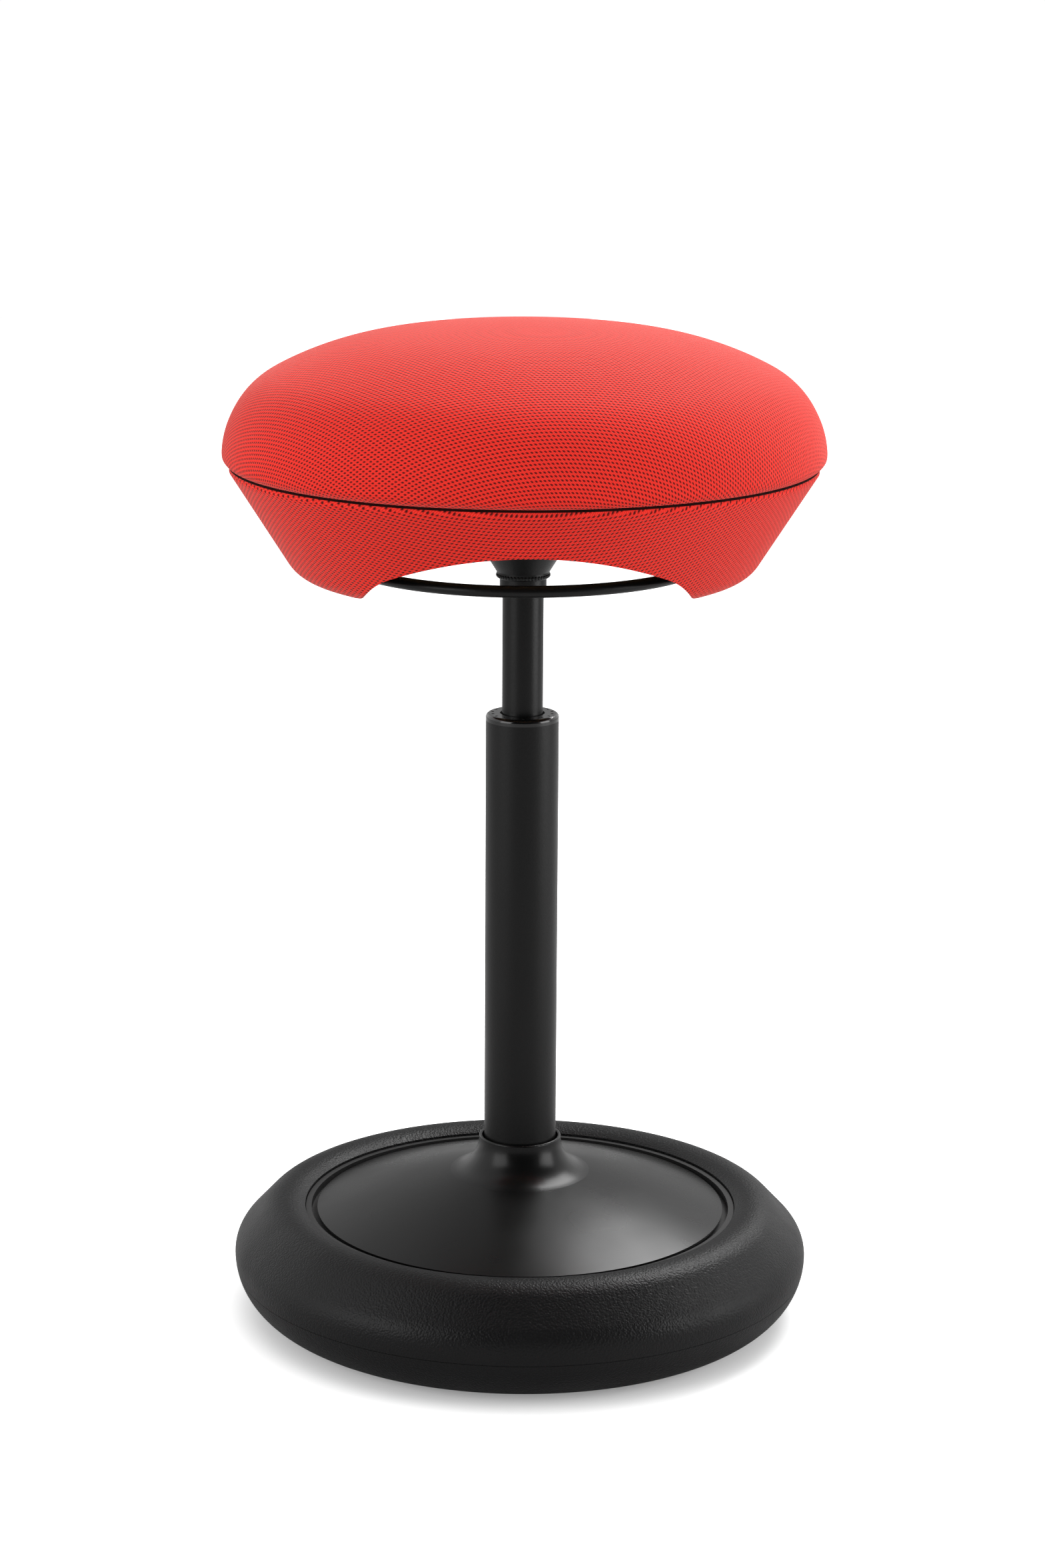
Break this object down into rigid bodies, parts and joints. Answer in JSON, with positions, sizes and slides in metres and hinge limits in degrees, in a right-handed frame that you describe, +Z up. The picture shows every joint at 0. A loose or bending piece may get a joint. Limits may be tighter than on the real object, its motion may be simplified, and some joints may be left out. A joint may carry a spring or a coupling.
{
  "type": "wobble stool",
  "caption": "Height-adjustable round stool that tilts on a foam foot ring, with a knitted cushion and skirt, a gas spring column and a ring-shaped release lever.",
  "frame": {"origin": "centre of the foot ring's underside, on the floor", "axes": "+Z up along the column, -Y towards the hand arch that the picture shows, +X to the right seen from there"},
  "size_m": [0.4068, 0.4068, 0.6946],
  "materials": {
    "foam_skin": "moulded foam with a leather-like grain",
    "tray_black": "moulded, fine texture",
    "cover_satin": "moulded, smooth satin",
    "cast": "painted casting",
    "steel_black": "satin black powder coat",
    "bush_black": "moulded, glossy",
    "zinc": "zinc plated",
    "bearing_steel": "ground",
    "brass": "turned",
    "guide_plastic": "natural nylon",
    "seal_rubber": "moulded",
    "plywood": "beech plywood",
    "shell_black": "moulded",
    "red_knit": "red spacer knit",
    "seat_foam": "moulded polyurethane foam"
  },
  "bodies": {
    "floor_foot": {"foot_ring_lower": "foam_skin"},
    "tilting_foot": {"foot_ring_upper": "foam_skin"},
    "base": {"base_tray": "tray_black", "ballast_ring": "cast", "ballast_screws": "zinc", "socket_plate": "steel_black", "column_socket": "steel_black", "socket_gussets": "steel_black", "base_bolts": "zinc", "base_nuts": "zinc", "base_cover": "cover_satin", "outer_tube": "steel_black", "guide_bush": "bush_black", "tube_end_plate": "zinc", "bearing_lower_race": "bearing_steel"},
    "cage": {"bearing_balls": "bearing_steel", "ball_cage": "brass"},
    "rod": {"bearing_upper_race": "bearing_steel", "bump_stop": "seal_rubber", "piston_rod": "bearing_steel", "rod_clip": "zinc", "clip_washer": "zinc", "piston": "brass", "piston_seal": "seal_rubber"},
    "seat": {"pressure_tube": "steel_black", "inner_cylinder": "bearing_steel", "rod_guide": "guide_plastic", "rod_seal": "seal_rubber", "valve_body": "brass", "seat_socket": "steel_black", "hub_funnel": "steel_black", "mounting_plate": "steel_black", "seat_board": "plywood", "sunk_nuts": "zinc", "seat_bolts": "zinc", "skirt_shell": "shell_black", "skirt_screws": "zinc", "skirt_cover": "red_knit", "rocker_bracket": "steel_black", "pivot_pin": "zinc", "pivot_clip": "zinc", "seat_foam": "seat_foam", "seat_cover": "red_knit"},
    "lever": {"ring_lever": "steel_black", "lever_rocker": "steel_black"},
    "pin": {"release_pin": "bearing_steel"}
  },
  "joints": [
    {"name": "tilt_x", "type": "hinge", "parent": "floor_foot", "child": "tilting_foot", "pos_m": [0, 0, 0.033], "axis": [1, 0, 0], "range_deg": [-5, 5], "stiffness_Nm_per_rad": 900, "deforming": ["foot_ring_lower"]},
    {"name": "tilt_y", "type": "hinge", "parent": "tilting_foot", "child": "base", "pos_m": [0, 0, 0.033], "axis": [0, 1, 0], "range_deg": [-5, 5], "stiffness_Nm_per_rad": 900, "deforming": ["foot_ring_upper"]},
    {"name": "swivel", "type": "hinge", "parent": "base", "child": "rod", "pos_m": [0, 0, 0.0371], "axis": [0, 0, 1], "continuous": true},
    {"name": "cage_roll", "type": "hinge", "parent": "base", "child": "cage", "pos_m": [0, 0, 0.03555], "axis": [0, 0, 1], "continuous": true},
    {"name": "seat_height", "type": "slide", "parent": "rod", "child": "seat", "axis": [0, 0, 1], "range_m": [-0.085, 0.115]},
    {"name": "lever_lift", "type": "hinge", "parent": "seat", "child": "lever", "pos_m": [0, -0.026, 0.58], "axis": [-1, 0, 0], "range_deg": [0, 4], "stiffness_Nm_per_rad": 6, "springref_deg": -6.88},
    {"name": "pin_travel", "type": "slide", "parent": "seat", "child": "pin", "axis": [0, 0, -1], "range_m": [0, 0.002]}
  ],
  "couplings": [
    {"joint": "cage_roll", "follows": "swivel", "ratio": 0.5},
    {"joint": "pin_travel", "follows": "lever_lift", "m_per_rad": 0.026}
  ]
}
